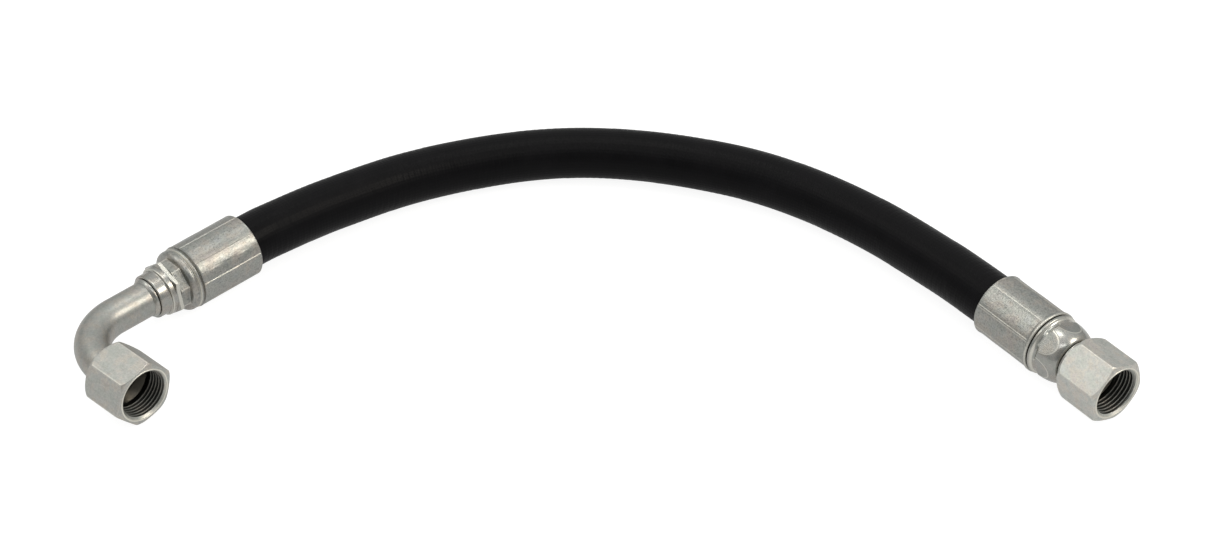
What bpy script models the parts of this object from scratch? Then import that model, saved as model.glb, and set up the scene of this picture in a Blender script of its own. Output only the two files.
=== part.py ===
"""A hydraulic hose assembly: a two-wire braided hose with a swept 90 degree swivel elbow
crimped on one end and a straight female swivel crimped on the other.

Metres, +Z up. The assembly lies flat: every fitting axis is horizontal, at AXIS_HEIGHT.
Each fitting is built along its own +Z, from its ferrule mouth at z = 0 towards its nut.
"""

import math

import bpy
from mathutils import Vector

# Rest plane and fitting axes, in plan
AXIS_HEIGHT = 0.0179
ELBOW_MOUTH = (-0.19135, 0.06037)
ELBOW_HEADING = math.radians(-135.4)
STRAIGHT_MOUTH = (0.20422, 0.01062)
STRAIGHT_HEADING = math.radians(-53.1)
QUARTER_TURN = math.radians(90)

# Hose: 3/4 inch bore, two wire braids
HOSE_RADIUS = 0.01425
HOSE_SIDES = 12
HOSE_RINGS = 21
COVER_WALL = 0.0010
OUTER_BRAID_RADIUS = 0.01302
BRAID_WALL = 0.0005
SEPARATOR_RADIUS = 0.01230
SEPARATOR_WALL = 0.0004
INNER_BRAID_RADIUS = 0.01168
TUBE_RADIUS = 0.01095
TUBE_WALL = 0.0014

# Clearance left between pieces that touch on the real object
GAP = 0.0003

# Crimped ferrules: eight die flats, then a round shoulder or a plain rim
FERRULE_RADIUS = 0.0176
FERRULE_BORE = 0.0147
MOUTH_ROLL = 0.0013
MOUTH_LEAD = 0.0005
CRIMP_FLATS = 8
CRIMP_APOTHEM = 0.0170
ELBOW_CRIMP_TURN = math.radians(11.5)
STRAIGHT_CRIMP_TURN = math.radians(17.5)
ELBOW_CRIMP_LENGTH = 0.0388
SHOULDER_RADIUS = 0.0172
SHOULDER_START = 0.0402
ELBOW_SHOULDER_END = 0.0456
ELBOW_FERRULE_LENGTH = 0.0511
STAKE_APOTHEM = 0.0131
STAKE_CORNER = 0.0144
STAKE_FLATS = 8
STAKE_TURN = math.radians(19.5)
STRAIGHT_CRIMP_LENGTH = 0.0374
STRAIGHT_FERRULE_LENGTH = 0.0390
RIM_ROLL = 0.0008
TAIL_BORE = 0.0101

# Barbed inserts
BARB_COUNT = 4
BARB_PEAK = 0.0088
BARB_ROOT = 0.0084
INSERT_TIP = 0.0030
BARB_START = 0.0050
BARB_PITCH = 0.0068
BARB_RISE = 0.0048
BARB_DROP = 0.0007
INSERT_BORE = 0.0072
STOP_RADIUS = 0.0125
STOP_LENGTH = 0.0016
NECK_RADIUS = 0.0098

# Elbow nipple and its bent tube
ELBOW_HOSE_STOP = 0.0428
HEX_FLANGE_APOTHEM = 0.0137
HEX_FLANGE_CORNER = 0.0157
HEX_FLANGE_TURN = math.radians(9.5)
HEX_FLANGE_END = 0.0532
HUB_START = 0.0540
HUB_RADIUS = 0.0136
HUB_END = 0.0566
SOCKET_RADIUS = 0.0121
SOCKET_END = 0.0628
TUBE_SEAT = 0.0570
TUBE_SOCKET = 0.0099
TUBE_SIDES = 16
ELBOW_TUBE_RADIUS = 0.009525
ELBOW_TUBE_WALL = 0.00165
ELBOW_CORNER = 0.1138
ELBOW_SWEEP = math.radians(92)
BEND_RADIUS = 0.0281
BEND_STEPS = 10
BRAZE_LENGTH = 0.0022
BRAZE_ROOT = 0.0014
BRAZE_TIP = 0.0006

# Straight nipple
STRAIGHT_HOSE_STOP = 0.0330
RIM_RADIUS = 0.0170
RIM_END = 0.0411
WAIST_DEPTH = 0.0008
WAIST_END = 0.0445
BODY_RADIUS = 0.0165
BODY_HEX_APOTHEM = 0.0154
BODY_HEX_START = 0.0440
BODY_HEX_END = 0.0530
SHOULDER_FOOT = 0.0118
BODY_SHOULDER_START = 0.0450
BODY_END = 0.0573
STRAIGHT_NUT_FACE = 0.0876

# Swivel head and nut, 1 1/16-12 thread on a 1 1/4 inch hexagon
HEAD_RADIUS = 0.0118
HEAD_EDGE = 0.0004
HEAD_TAIL = 0.0002
HEAD_STOP = 0.0076
SEAT_DEPTH = 0.0130
SEAT_LAND = 0.0006
SEAT_ANGLE = math.radians(37)
SEAT_BORE = 0.0078
NUT_LENGTH = 0.0277
NUT_APOTHEM = 0.015875
NUT_BLANK_RADIUS = 0.0186
NUT_FACE_RADIUS = 0.0149
NUT_CHAMFER = math.radians(30)
NUT_BACK_ROUND = 0.0056
NUT_BACK_RADIUS = 0.0141
NUT_REAR_BORE = 0.0121
NUT_REAR_EDGE = 0.0006
COUNTERSINK_RADIUS = 0.0139
COUNTERSINK_DEPTH = 0.0013
THREAD_RADIUS = 0.0128
THREAD_DEPTH = 0.0125
RELIEF_RADIUS = 0.0136
RELIEF_DEPTH = 0.0150
ELBOW_DROP = 0.0603
ELBOW_NUT_ROLL = math.radians(42.9)
STRAIGHT_NUT_ROLL = math.radians(12.4)

# Retaining wire, half in the head's groove and half in the nut's
WIRE_RADIUS = 0.0008
WIRE_RING_RADIUS = 0.01195
WIRE_FROM_NUT_BACK = 0.0029
WIRE_GROOVE = 0.0011
WIRE_SWEEP = math.radians(336)
WIRE_STEPS = 20

ROUND_STEPS = 24
EDGE = 0.0005
CUTTER_REACH = 0.030
CUTTER_OVERRUN = 0.0010
MERGE = 0.00001
ROUTE_STEPS = 16

# The hose's route in plan between the ferrules, with the height of its centre line
HOSE_ROUTE = (
    (-0.1826, 0.0686, 0.0179),
    (-0.1729, 0.0764, 0.0178),
    (-0.1577, 0.0885, 0.0174),
    (-0.1423, 0.0997, 0.0167),
    (-0.1109, 0.1199, 0.0153),
    (-0.0787, 0.1340, 0.0145),
    (-0.0460, 0.1430, 0.0144),
    (-0.0130, 0.1465, 0.0144),
    (0.0201, 0.1438, 0.0144),
    (0.0530, 0.1362, 0.0144),
    (0.0854, 0.1240, 0.0144),
    (0.1171, 0.1046, 0.0146),
    (0.1477, 0.0781, 0.0155),
    (0.1770, 0.0451, 0.0170),
    (0.1913, 0.0273, 0.0177),
)


def clear_scene():
    for old in list(bpy.data.objects):
        bpy.data.objects.remove(old)


def new_collection(name):
    collection = bpy.data.collections.new(name)
    bpy.context.scene.collection.children.link(collection)
    return collection


def new_material(name, colour, roughness, metallic):
    material = bpy.data.materials.new(name)
    material.use_nodes = True
    shader = material.node_tree.nodes["Principled BSDF"]
    shader.inputs["Base Color"].default_value = (*colour, 1.0)
    shader.inputs["Roughness"].default_value = roughness
    shader.inputs["Metallic"].default_value = metallic
    return material


def new_frame(name, location, heading):
    """An empty whose +Z runs along the heading in plan and whose +X points down."""
    frame = bpy.data.objects.new(name, None)
    frame.empty_display_size = 0.02
    frame.location = location
    frame.rotation_euler = (0.0, QUARTER_TURN, heading)
    PARTS.objects.link(frame)
    return frame


def along(mouth, heading, distance):
    """The point in plan at this distance from a mouth along its heading."""
    return (
        mouth[0] + distance * math.cos(heading),
        mouth[1] + distance * math.sin(heading),
        AXIS_HEIGHT,
    )


def turned(name, outline, frame, material=None, steps=ROUND_STEPS, collection=None):
    """A ring turned about the frame's Z: the outline is a closed loop of (radius, z) that
    runs down the outer side and back up the bore."""
    mesh = bpy.data.meshes.new(name)
    corners = [(radius, 0.0, z) for radius, z in outline]
    edges = [(i, (i + 1) % len(corners)) for i in range(len(corners))]
    mesh.from_pydata(corners, edges, [])
    ring = bpy.data.objects.new(name, mesh)
    (collection or PARTS).objects.link(ring)
    ring.parent = frame
    screw = ring.modifiers.new("Turn", "SCREW")
    screw.steps = steps
    screw.render_steps = steps
    screw.use_merge_vertices = True
    screw.merge_threshold = MERGE
    screw.use_smooth_shade = False
    if material:
        mesh.materials.append(material)
    return ring


def cut_to_polygon(ring, sides, apothem, start, end, phase):
    """Takes off what stands outside a regular prism between two heights."""
    corner = apothem / math.cos(math.pi / sides)
    outline = ((CUTTER_REACH, end), (CUTTER_REACH, start), (corner, start), (corner, end))
    cutter = turned(f"{ring.name}_cutter", outline, ring.parent, steps=sides, collection=CUTTERS)
    cutter.rotation_euler.z = phase
    cutter.hide_render = True
    cutter.display_type = "WIRE"
    cut = ring.modifiers.new("Flats", "BOOLEAN")
    cut.operation = "DIFFERENCE"
    cut.object = cutter


def arc(centre, size, start, end, steps):
    """Outline points of an elliptic arc; its angles rise from the radius axis towards +z."""
    points = []
    for step in range(steps + 1):
        angle = start + (end - start) * step / steps
        radius = centre[0] + size[0] * math.cos(angle)
        points.append((radius, centre[1] + size[1] * math.sin(angle)))
    return points


def groove(radius, z, outward):
    """Points of the wire's half-round groove, in rising z, into a wall at this radius."""
    half = math.acos(abs(radius - WIRE_RING_RADIUS) / WIRE_GROOVE)
    if (radius > WIRE_RING_RADIUS) != outward:
        half = math.pi - half
    depth = WIRE_GROOVE if outward else -WIRE_GROOVE
    return arc((WIRE_RING_RADIUS, z), (depth, WIRE_GROOVE), -half, half, 4)


def smooth_route(points, count):
    """Points at even spacing on a Catmull-Rom curve through the route's own points."""
    ends = [2 * points[0] - points[1], *points, 2 * points[-1] - points[-2]]
    fine = []
    for before, start, end, after in zip(ends, ends[1:], ends[2:], ends[3:]):
        for step in range(ROUTE_STEPS):
            t = step / ROUTE_STEPS
            fine.append(
                0.5
                * (
                    2 * start
                    + (end - before) * t
                    + (2 * before - 5 * start + 4 * end - after) * t**2
                    + (3 * start - before - 3 * end + after) * t**3
                )
            )
    fine.append(points[-1])
    travelled = [0.0]
    for start, end in zip(fine, fine[1:]):
        travelled.append(travelled[-1] + (end - start).length)
    even = []
    place = 0
    for i in range(count):
        target = travelled[-1] * i / (count - 1)
        while place < len(fine) - 2 and travelled[place + 1] < target:
            place += 1
        span = travelled[place + 1] - travelled[place]
        even.append(fine[place].lerp(fine[place + 1], (target - travelled[place]) / span))
    return even


def pipe(name, points, radius, wall, material, sides):
    """A hollow tube of this outer radius whose centre line runs through the points."""
    curve = bpy.data.curves.new(name, "CURVE")
    curve.dimensions = "3D"
    curve.bevel_depth = radius
    curve.bevel_resolution = (sides - 4) // 2
    spline = curve.splines.new("POLY")
    spline.points.add(len(points) - 1)
    for point, place in zip(spline.points, points):
        point.co = (*place, 1.0)
    guide = bpy.data.objects.new(f"{name}_guide", curve)
    PARTS.objects.link(guide)
    bpy.context.view_layer.update()
    graph = bpy.context.evaluated_depsgraph_get()
    mesh = bpy.data.meshes.new_from_object(guide.evaluated_get(graph))
    bpy.data.objects.remove(guide)
    mesh.name = name
    mesh.materials.clear()
    mesh.materials.append(material)
    tube = bpy.data.objects.new(name, mesh)
    PARTS.objects.link(tube)
    shell = tube.modifiers.new("Wall", "SOLIDIFY")
    shell.thickness = wall
    shell.offset = -1.0
    shell.use_even_offset = True
    return tube


def wire_ring(name, frame, nut_back, material):
    """The open ring of wire that holds the nut on its head."""
    curve = bpy.data.curves.new(name, "CURVE")
    curve.dimensions = "3D"
    curve.bevel_depth = WIRE_RADIUS
    curve.bevel_resolution = 1
    curve.use_fill_caps = True
    spline = curve.splines.new("POLY")
    spline.points.add(WIRE_STEPS)
    for i, point in enumerate(spline.points):
        angle = WIRE_SWEEP * i / WIRE_STEPS
        point.co = (
            WIRE_RING_RADIUS * math.cos(angle),
            WIRE_RING_RADIUS * math.sin(angle),
            nut_back + WIRE_FROM_NUT_BACK,
            1.0,
        )
    curve.materials.append(material)
    ring = bpy.data.objects.new(name, curve)
    ring.parent = frame
    PARTS.objects.link(ring)


def barbs():
    """The insert's outer side from its tip: saw teeth whose steep sides face the fitting."""
    side = [(BARB_ROOT, INSERT_TIP)]
    for i in range(BARB_COUNT):
        foot = BARB_START + i * BARB_PITCH
        side.append((BARB_ROOT, foot))
        side.append((BARB_PEAK, foot + BARB_RISE))
        side.append((BARB_ROOT, foot + BARB_RISE + BARB_DROP))
    return side


def insert_side(hose_stop, neck_end):
    """The outer side of an insert, from its tip to the end of the neck in the ferrule's tail."""
    flange = hose_stop + GAP
    return [
        *barbs(),
        (BARB_ROOT, flange),
        (STOP_RADIUS, flange),
        (STOP_RADIUS, flange + STOP_LENGTH),
        (NECK_RADIUS, flange + STOP_LENGTH),
        (NECK_RADIUS, neck_end),
    ]


def head_side(nut_back, nut_face):
    """A swivel head's outer side, from the nut's back to the rim of its flared seat."""
    rim = nut_face - SEAT_DEPTH
    return [
        *groove(HEAD_RADIUS, nut_back + WIRE_FROM_NUT_BACK, outward=False),
        (HEAD_RADIUS, rim - HEAD_EDGE),
        (HEAD_RADIUS - HEAD_EDGE, rim),
    ]


def seat_side(nut_face):
    """The flared seat inside the rim: a 37 degree cone down to the head's bore."""
    rim = nut_face - SEAT_DEPTH
    mouth = HEAD_RADIUS - HEAD_EDGE - SEAT_LAND
    return [(mouth, rim), (SEAT_BORE, rim - (mouth - SEAT_BORE) / math.tan(SEAT_ANGLE))]


def closed(outer_rising, inner_falling):
    """An outline that runs down the outer side and back up the bore."""
    return [*reversed(outer_rising), *reversed(inner_falling)]


def ferrule_mouth():
    """The rolled edge where the hose goes in, and the outer side that follows it."""
    centre = (FERRULE_RADIUS - MOUTH_ROLL, MOUTH_ROLL)
    return arc(centre, (MOUTH_ROLL, MOUTH_ROLL), -QUARTER_TURN, 0.0, 3)


def ferrule_bore(hose_stop, length):
    """The hollow that holds the hose's end, and the narrower tail round the nipple's neck."""
    shelf = hose_stop + GAP + STOP_LENGTH + GAP
    return [
        (TAIL_BORE, length),
        (TAIL_BORE, shelf),
        (FERRULE_BORE, shelf),
        (FERRULE_BORE, MOUTH_LEAD),
        (FERRULE_BORE + MOUTH_LEAD, 0.0),
    ]


def elbow_ferrule(frame, material):
    shoulder = arc(
        (STAKE_CORNER, SHOULDER_START),
        (SHOULDER_RADIUS - STAKE_CORNER, ELBOW_SHOULDER_END - SHOULDER_START),
        0.0,
        QUARTER_TURN,
        4,
    )
    outer = [
        *ferrule_mouth(),
        (FERRULE_RADIUS, ELBOW_CRIMP_LENGTH),
        (SHOULDER_RADIUS, ELBOW_CRIMP_LENGTH + EDGE),
        *shoulder,
        (STAKE_CORNER, ELBOW_FERRULE_LENGTH),
    ]
    inner = ferrule_bore(ELBOW_HOSE_STOP, ELBOW_FERRULE_LENGTH)
    ferrule = turned("elbow_ferrule", closed(outer, inner), frame, material)
    cut_to_polygon(
        ferrule,
        CRIMP_FLATS,
        CRIMP_APOTHEM,
        -CUTTER_OVERRUN,
        ELBOW_CRIMP_LENGTH,
        ELBOW_CRIMP_TURN,
    )
    cut_to_polygon(
        ferrule,
        STAKE_FLATS,
        STAKE_APOTHEM,
        ELBOW_SHOULDER_END,
        ELBOW_FERRULE_LENGTH + CUTTER_OVERRUN,
        STAKE_TURN,
    )


def straight_ferrule(frame, material):
    rim = arc(
        (FERRULE_RADIUS - RIM_ROLL, STRAIGHT_FERRULE_LENGTH - RIM_ROLL),
        (RIM_ROLL, RIM_ROLL),
        0.0,
        QUARTER_TURN,
        2,
    )
    outer = [*ferrule_mouth(), *rim]
    inner = ferrule_bore(STRAIGHT_HOSE_STOP, STRAIGHT_FERRULE_LENGTH)
    ferrule = turned("straight_ferrule", closed(outer, inner), frame, material)
    cut_to_polygon(
        ferrule,
        CRIMP_FLATS,
        CRIMP_APOTHEM,
        -CUTTER_OVERRUN,
        STRAIGHT_CRIMP_LENGTH,
        STRAIGHT_CRIMP_TURN,
    )


def elbow_nipple(frame, material):
    flange_start = ELBOW_FERRULE_LENGTH + GAP
    outer = [
        *insert_side(ELBOW_HOSE_STOP, flange_start),
        (HEX_FLANGE_CORNER, flange_start),
        (HEX_FLANGE_CORNER, HEX_FLANGE_END),
        (HUB_RADIUS, HUB_START),
        (HUB_RADIUS, HUB_END),
        (SOCKET_RADIUS, HUB_END + EDGE),
        (SOCKET_RADIUS, SOCKET_END - EDGE),
        (SOCKET_RADIUS - EDGE, SOCKET_END),
    ]
    inner = [
        (TUBE_SOCKET, SOCKET_END),
        (TUBE_SOCKET, TUBE_SEAT),
        (INSERT_BORE, TUBE_SEAT),
        (INSERT_BORE, INSERT_TIP),
    ]
    nipple = turned("elbow_nipple", closed(outer, inner), frame, material)
    cut_to_polygon(
        nipple,
        6,
        HEX_FLANGE_APOTHEM,
        flange_start - GAP / 2,
        HEX_FLANGE_END + GAP / 2,
        HEX_FLANGE_TURN,
    )


def elbow_tube(material):
    """The bent tube, from its socket in the nipple round its sweep to the head."""
    start = TUBE_SEAT + GAP
    bend_start = ELBOW_CORNER - BEND_RADIUS * math.tan(ELBOW_SWEEP / 2)
    first = Vector((math.cos(ELBOW_HEADING), math.sin(ELBOW_HEADING), 0.0))
    inward = Vector((-first.y, first.x, 0.0))
    mouth = Vector((*ELBOW_MOUTH, AXIS_HEIGHT))
    centre = mouth + first * bend_start + inward * BEND_RADIUS
    points = [mouth + first * start, mouth + first * (SOCKET_END + BRAZE_LENGTH)]
    for i in range(BEND_STEPS + 1):
        angle = ELBOW_SWEEP * i / BEND_STEPS
        points.append(
            centre
            + first * (BEND_RADIUS * math.sin(angle))
            - inward * (BEND_RADIUS * math.cos(angle))
        )
    head_stop = ELBOW_DROP - NUT_LENGTH + HEAD_STOP
    last = first * math.cos(ELBOW_SWEEP) + inward * math.sin(ELBOW_SWEEP)
    points.append(mouth + first * ELBOW_CORNER + last * (head_stop - GAP))
    pipe("elbow_tube", points, ELBOW_TUBE_RADIUS, ELBOW_TUBE_WALL, material, TUBE_SIDES)


def braze_ring(name, frame, root, tip, material):
    """The fillet of braze metal round the tube, thick at its root."""
    bore = ELBOW_TUBE_RADIUS + GAP
    thick = (ELBOW_TUBE_RADIUS + BRAZE_ROOT, root)
    thin = (ELBOW_TUBE_RADIUS + BRAZE_TIP, tip)
    upper, lower = (thin, thick) if root < tip else (thick, thin)
    outline = (upper, lower, (bore, lower[1]), (bore, upper[1]))
    turned(name, outline, frame, material)


def elbow_seat(frame, material):
    """The swivel head brazed on the elbow tube; its frame starts at the bend's corner."""
    nut_back = ELBOW_DROP - NUT_LENGTH
    outer = [(HEAD_RADIUS, nut_back + HEAD_TAIL), *head_side(nut_back, ELBOW_DROP)]
    inner = [
        *seat_side(ELBOW_DROP),
        (SEAT_BORE, nut_back + HEAD_STOP),
        (TUBE_SOCKET, nut_back + HEAD_STOP),
        (TUBE_SOCKET, nut_back + HEAD_TAIL),
    ]
    turned("elbow_seat", closed(outer, inner), frame, material)


def straight_nipple(frame, material):
    """The insert, the forged body with its short hexagon, and the swivel head, in one."""
    rim_start = STRAIGHT_FERRULE_LENGTH + GAP
    waist = arc(
        (BODY_RADIUS, (RIM_END + WAIST_END) / 2),
        (-WAIST_DEPTH, (WAIST_END - RIM_END) / 2),
        -QUARTER_TURN,
        QUARTER_TURN,
        4,
    )
    shoulder = arc(
        (SHOULDER_FOOT, BODY_SHOULDER_START),
        (BODY_RADIUS - SHOULDER_FOOT, BODY_END - BODY_SHOULDER_START),
        0.0,
        QUARTER_TURN,
        4,
    )
    outer = [
        *insert_side(STRAIGHT_HOSE_STOP, rim_start),
        (RIM_RADIUS, rim_start),
        (RIM_RADIUS, RIM_END - EDGE),
        *waist,
        *shoulder,
        (HEAD_RADIUS, BODY_END + EDGE),
        *head_side(STRAIGHT_NUT_FACE - NUT_LENGTH, STRAIGHT_NUT_FACE),
    ]
    inner = [
        *seat_side(STRAIGHT_NUT_FACE),
        (SEAT_BORE, BODY_END),
        (INSERT_BORE, BODY_END - EDGE),
        (INSERT_BORE, INSERT_TIP),
    ]
    nipple = turned("straight_nipple", closed(outer, inner), frame, material)
    cut_to_polygon(
        nipple, 6, BODY_HEX_APOTHEM, BODY_HEX_START, BODY_HEX_END, STRAIGHT_NUT_ROLL
    )


def swivel_nut(name, frame, face, roll, material):
    """A hexagon nut with a chamfered face, a rounded back and a threaded socket."""
    back = face - NUT_LENGTH
    chamfer_drop = (NUT_BLANK_RADIUS - NUT_FACE_RADIUS) * math.tan(NUT_CHAMFER)
    rounded_back = arc(
        (NUT_BACK_RADIUS, back + NUT_BACK_ROUND),
        (NUT_BLANK_RADIUS - NUT_BACK_RADIUS, NUT_BACK_ROUND),
        -QUARTER_TURN,
        0.0,
        4,
    )
    outer = [
        *rounded_back,
        (NUT_BLANK_RADIUS, face - chamfer_drop),
        (NUT_FACE_RADIUS, face),
    ]
    inner = [
        (COUNTERSINK_RADIUS, face),
        (THREAD_RADIUS, face - COUNTERSINK_DEPTH),
        (THREAD_RADIUS, face - THREAD_DEPTH),
        (RELIEF_RADIUS, face - THREAD_DEPTH - EDGE),
        (RELIEF_RADIUS, face - RELIEF_DEPTH),
        (NUT_REAR_BORE, face - RELIEF_DEPTH - EDGE),
        *reversed(groove(NUT_REAR_BORE, back + WIRE_FROM_NUT_BACK, outward=True)),
        (NUT_REAR_BORE, back + NUT_REAR_EDGE),
        (NUT_REAR_BORE + NUT_REAR_EDGE, back),
    ]
    nut = turned(name, closed(outer, inner), frame, material)
    cut_to_polygon(nut, 6, NUT_APOTHEM, back - CUTTER_OVERRUN, face + CUTTER_OVERRUN, roll)


def hose(materials):
    """The five layers of the hose, each a hollow tube on the same centre line."""
    elbow_end = Vector(along(ELBOW_MOUTH, ELBOW_HEADING, ELBOW_HOSE_STOP))
    elbow_middle = Vector(along(ELBOW_MOUTH, ELBOW_HEADING, ELBOW_HOSE_STOP / 2))
    elbow_mouth = Vector((*ELBOW_MOUTH, AXIS_HEIGHT))
    straight_mouth = Vector((*STRAIGHT_MOUTH, AXIS_HEIGHT))
    straight_middle = Vector(along(STRAIGHT_MOUTH, STRAIGHT_HEADING, STRAIGHT_HOSE_STOP / 2))
    straight_end = Vector(along(STRAIGHT_MOUTH, STRAIGHT_HEADING, STRAIGHT_HOSE_STOP))
    route = [
        elbow_end,
        elbow_middle,
        elbow_mouth,
        *(Vector(place) for place in HOSE_ROUTE),
        straight_mouth,
        straight_middle,
        straight_end,
    ]
    points = smooth_route(route, HOSE_RINGS)
    layers = (
        ("hose_cover", HOSE_RADIUS, COVER_WALL, "rubber"),
        ("hose_outer_braid", OUTER_BRAID_RADIUS, BRAID_WALL, "braid"),
        ("hose_separator", SEPARATOR_RADIUS, SEPARATOR_WALL, "rubber"),
        ("hose_inner_braid", INNER_BRAID_RADIUS, BRAID_WALL, "braid"),
        ("hose_inner_tube", TUBE_RADIUS, TUBE_WALL, "rubber"),
    )
    for name, radius, wall, kind in layers:
        pipe(name, points, radius, wall, materials[kind], HOSE_SIDES)


clear_scene()
PARTS = new_collection("hydraulic_hose_assembly")
CUTTERS = new_collection("cutters")
MATERIALS = {
    "rubber": new_material("hose_rubber", (0.012, 0.012, 0.014), 0.55, 0.0),
    "braid": new_material("braid_wire", (0.62, 0.55, 0.38), 0.40, 1.0),
    "plated": new_material("zinc_plated_steel", (0.62, 0.61, 0.57), 0.34, 1.0),
    "nut": new_material("zinc_plated_nut", (0.66, 0.67, 0.66), 0.42, 1.0),
    "braze": new_material("braze_metal", (0.70, 0.60, 0.38), 0.45, 1.0),
    "wire": new_material("retaining_wire", (0.58, 0.56, 0.50), 0.35, 1.0),
}

elbow_frame = new_frame("elbow_frame", (*ELBOW_MOUTH, AXIS_HEIGHT), ELBOW_HEADING)
elbow_nut_frame = new_frame(
    "elbow_nut_frame",
    along(ELBOW_MOUTH, ELBOW_HEADING, ELBOW_CORNER),
    ELBOW_HEADING + ELBOW_SWEEP,
)
straight_frame = new_frame("straight_frame", (*STRAIGHT_MOUTH, AXIS_HEIGHT), STRAIGHT_HEADING)

hose(MATERIALS)

elbow_nut_back = ELBOW_DROP - NUT_LENGTH
elbow_ferrule(elbow_frame, MATERIALS["plated"])
elbow_nipple(elbow_frame, MATERIALS["plated"])
elbow_tube(MATERIALS["plated"])
tube_braze_root = SOCKET_END + GAP
braze_ring(
    "elbow_tube_braze",
    elbow_frame,
    tube_braze_root,
    tube_braze_root + BRAZE_LENGTH,
    MATERIALS["braze"],
)
elbow_seat(elbow_nut_frame, MATERIALS["plated"])
seat_braze_root = elbow_nut_back + HEAD_TAIL - GAP
braze_ring(
    "elbow_seat_braze",
    elbow_nut_frame,
    seat_braze_root,
    seat_braze_root - BRAZE_LENGTH,
    MATERIALS["braze"],
)
swivel_nut("elbow_nut", elbow_nut_frame, ELBOW_DROP, ELBOW_NUT_ROLL, MATERIALS["nut"])
wire_ring("elbow_nut_wire", elbow_nut_frame, elbow_nut_back, MATERIALS["wire"])

straight_ferrule(straight_frame, MATERIALS["plated"])
straight_nipple(straight_frame, MATERIALS["plated"])
swivel_nut(
    "straight_nut", straight_frame, STRAIGHT_NUT_FACE, STRAIGHT_NUT_ROLL, MATERIALS["nut"]
)
wire_ring(
    "straight_nut_wire", straight_frame, STRAIGHT_NUT_FACE - NUT_LENGTH, MATERIALS["wire"]
)
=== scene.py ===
"""The looks of a hydraulic hose assembly: black wrapped hose, zinc plated crimped fittings.

Metres, +Z up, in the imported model's own frame. The assembly lies flat on the floor; each
fitting is shaped in its own frame, with +Z running from the ferrule's mouth to the nut.
"""

import math

import bpy
import numpy as np
from mathutils import Matrix, Vector


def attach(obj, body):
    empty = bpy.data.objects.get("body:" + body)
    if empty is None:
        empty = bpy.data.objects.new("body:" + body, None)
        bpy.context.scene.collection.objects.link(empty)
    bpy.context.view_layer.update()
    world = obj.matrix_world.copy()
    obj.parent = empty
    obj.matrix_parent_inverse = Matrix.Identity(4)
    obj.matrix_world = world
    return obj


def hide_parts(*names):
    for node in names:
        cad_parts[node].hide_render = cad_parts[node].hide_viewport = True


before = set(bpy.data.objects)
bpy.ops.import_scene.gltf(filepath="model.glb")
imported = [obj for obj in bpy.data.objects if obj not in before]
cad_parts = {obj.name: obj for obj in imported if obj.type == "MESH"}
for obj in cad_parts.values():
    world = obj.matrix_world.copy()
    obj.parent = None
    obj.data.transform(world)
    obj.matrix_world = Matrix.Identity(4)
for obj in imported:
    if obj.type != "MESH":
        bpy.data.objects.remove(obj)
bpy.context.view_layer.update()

ROOT = "hose_and_fittings"
ELBOW_NUT_BODY = "elbow_swivel_nut"
STRAIGHT_NUT_BODY = "straight_swivel_nut"
MM = 0.001
QUARTER = math.pi / 2
TURN = 2 * math.pi

# Fitting axes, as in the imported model
AXIS_HEIGHT = 0.0179
ELBOW_MOUTH = (-0.19135, 0.06037)
ELBOW_HEADING = math.radians(-135.4)
ELBOW_CORNER = 0.1138
ELBOW_SWEEP = math.radians(92)
ELBOW_DROP = 0.0603
BEND_RADIUS = 0.0281
STRAIGHT_MOUTH = (0.20422, 0.01062)
STRAIGHT_HEADING = math.radians(-53.1)
STRAIGHT_NUT_FACE = 0.0876

# The hose's centre line between the two ferrule mouths
HOSE_ROUTE = (
    (-0.1826, 0.0686, 0.0179),
    (-0.1729, 0.0764, 0.0178),
    (-0.1577, 0.0885, 0.0174),
    (-0.1423, 0.0997, 0.0167),
    (-0.1109, 0.1199, 0.0153),
    (-0.0787, 0.1340, 0.0145),
    (-0.0460, 0.1430, 0.0144),
    (-0.0130, 0.1465, 0.0144),
    (0.0201, 0.1438, 0.0144),
    (0.0530, 0.1362, 0.0144),
    (0.0854, 0.1240, 0.0144),
    (0.1171, 0.1046, 0.0146),
    (0.1477, 0.0781, 0.0155),
    (0.1770, 0.0451, 0.0170),
    (0.1913, 0.0273, 0.0177),
)
HOSE_RADIUS = 0.01430
HOSE_THINNING = 0.00042
HOSE_FULLNESS = 0.00016
HOSE_INSIDE_FERRULE = 0.009
HOSE_WALL = 0.0010
HOSE_ROW = 0.00075
ROUTE_STEPS = 32
WRAP_RIB_PITCH = 0.0038
WRAP_RIB_STARTS = 5
WRAP_RIB_HEIGHT = 0.000035
WRAP_SWELL_PITCH = 0.071
WRAP_PITCH = 0.052
WRAP_STEP = 0.00010

# Camera
CAMERA_TARGET = Vector((0.0019, 0.0334, AXIS_HEIGHT))
CAMERA_DISTANCE = 1.570
CAMERA_ELEVATION = math.radians(39)
CAMERA_LENS = 88.96
CAMERA_SENSOR = 36

# Surroundings: the white floor shows bright to the camera and greyer in reflections
FLOOR_GAP = 0.0002
FLOOR_REACH = 6.0
FLOOR_GREY = (0.26, 0.26, 0.26, 1)
FLOOR_GLOW = (0.52, 0.90)
WORLD_LOW_AND_HIGH = (0.42, 1.04)
DARK_SIDE = (0.0, -0.78, 0.62)
DARK_SIDE_EDGES = (0.70, 0.98)
DARK_SIDE_SHADE = 0.42
LIGHT_DISTANCE = 1.9

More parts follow.
